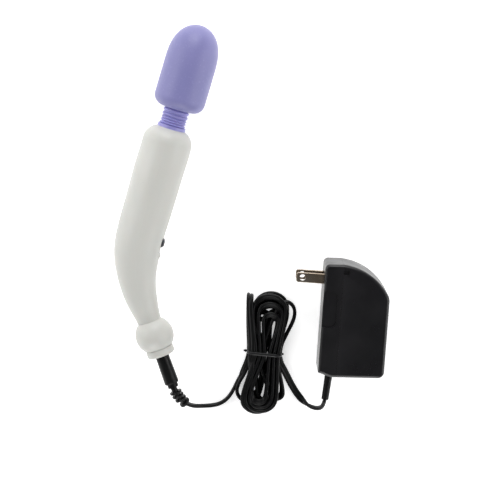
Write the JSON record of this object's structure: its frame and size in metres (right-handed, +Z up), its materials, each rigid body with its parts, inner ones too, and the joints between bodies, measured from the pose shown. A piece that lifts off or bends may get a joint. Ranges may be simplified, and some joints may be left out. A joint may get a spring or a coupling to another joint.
{
  "type": "handheld wand massager",
  "caption": "Small wand massager with a soft domed head on a ribbed flexible neck, a curved handle with a ball end and slide switch, and its coiled lead and wall adapter",
  "frame": {"origin": "on the table under the middle of the wand's own box, the wand lying on its side", "axes": "+Y along the barrel towards the head, +X towards the inner side of the bend and the adapter, +Z up from the table"},
  "size_m": [0.1887, 0.2376, 0.033],
  "materials": {
    "lavender_soft_touch": "satin soft-touch lavender",
    "neck_lavender": "semi-gloss lavender elastomer",
    "white_plastic": "warm white satin ABS",
    "switch_plastic": "dark grey moulded",
    "black_case": "black satin case with fine texture",
    "black_moulded_pvc": "black satin moulded PVC",
    "black_cord": "glossy black PVC twin cord",
    "tie_black": "black plastic-covered wire",
    "nickel": "bright nickel plate",
    "steel": "zinc-plated steel",
    "core_steel": "varnished laminations",
    "brass_parts": "turned brass",
    "copper_winding": "enamelled copper",
    "board_green": "fibreglass board",
    "inner_plastic": "grey inner plastic",
    "mount_rubber": "soft black rubber",
    "wire_red": "thin PVC insulation"
  },
  "bodies": {
    "handle": {"neck_lower_ring": "neck_lavender", "handle_shell_upper": "white_plastic", "handle_shell_lower": "white_plastic", "handle_screws": "steel", "slide_switch_body": "inner_plastic", "control_board": "board_green", "board_components": "inner_plastic", "motor_can": "steel", "motor_end_cap": "inner_plastic", "motor_magnets": "core_steel", "motor_mount_front": "mount_rubber", "motor_mount_rear": "mount_rubber", "motor_wires": "wire_red", "socket_wires": "wire_red", "end_collar": "white_plastic", "jack_housing": "switch_plastic", "jack_pin": "nickel", "jack_contact": "brass_parts"},
    "rotor": {"motor_armature": "copper_winding", "motor_shaft": "steel", "drive_coupler": "brass_parts", "flexible_drive_tube": "mount_rubber"},
    "neck_mid": {"neck_sleeve": "neck_lavender", "neck_support_spring": "steel"},
    "head": {"head_cover": "lavender_soft_touch", "head_capsule_upper": "inner_plastic", "head_capsule_lower": "inner_plastic", "head_base_ring": "neck_lavender", "head_bush_lower": "brass_parts", "head_bush_upper": "brass_parts"},
    "eccentric": {"eccentric_shaft": "steel", "eccentric_weight": "core_steel"},
    "slider": {"switch_slider": "switch_plastic", "switch_actuator": "inner_plastic"},
    "cord_set": {"plug_body": "black_moulded_pvc", "plug_barrel": "nickel", "plug_insulator": "inner_plastic", "plug_strain_relief": "black_moulded_pvc", "cord_lead_in": "black_cord", "cord_hank": "black_cord", "cord_lead_out": "black_cord", "twist_tie": "tie_black", "adapter_front_cover": "black_case", "adapter_rear_case": "black_case", "adapter_screws": "steel", "adapter_blades": "nickel", "transformer_core": "core_steel", "transformer_coil": "copper_winding", "rectifier_board": "board_green", "smoothing_capacitor": "switch_plastic", "adapter_strain_relief": "black_moulded_pvc"}
  },
  "joints": [
    {"name": "neck_bend", "type": "hinge", "parent": "handle", "child": "neck_mid", "pos_m": [-0.01269, 0.04356, 0.0162], "axis": [0, 0, 1], "range_deg": [-15, 15], "stiffness_Nm_per_rad": 1.5, "deforming": ["neck_sleeve", "neck_support_spring", "flexible_drive_tube"]},
    {"name": "neck_nod", "type": "hinge", "parent": "neck_mid", "child": "head", "pos_m": [-0.01269, 0.04886, 0.0162], "axis": [1, 0, 0], "range_deg": [-15, 15], "stiffness_Nm_per_rad": 1.5},
    {"name": "motor_spin", "type": "hinge", "parent": "handle", "child": "rotor", "pos_m": [-0.01269, 0, 0.0162], "axis": [0, 1, 0], "continuous": true},
    {"name": "eccentric_spin", "type": "hinge", "parent": "head", "child": "eccentric", "pos_m": [-0.01269, 0.07036, 0.0162], "axis": [0, 1, 0], "continuous": true},
    {"name": "switch_slide", "type": "slide", "parent": "handle", "child": "slider", "axis": [0, -1, 0], "range_m": [0, 0.004]},
    {"name": "unplug", "type": "slide", "parent": "handle", "child": "cord_set", "axis": [0.5878, -0.809, 0], "range_m": [0, 0.01]}
  ],
  "couplings": [
    {"joint": "eccentric_spin", "follows": "motor_spin", "ratio": 1}
  ]
}
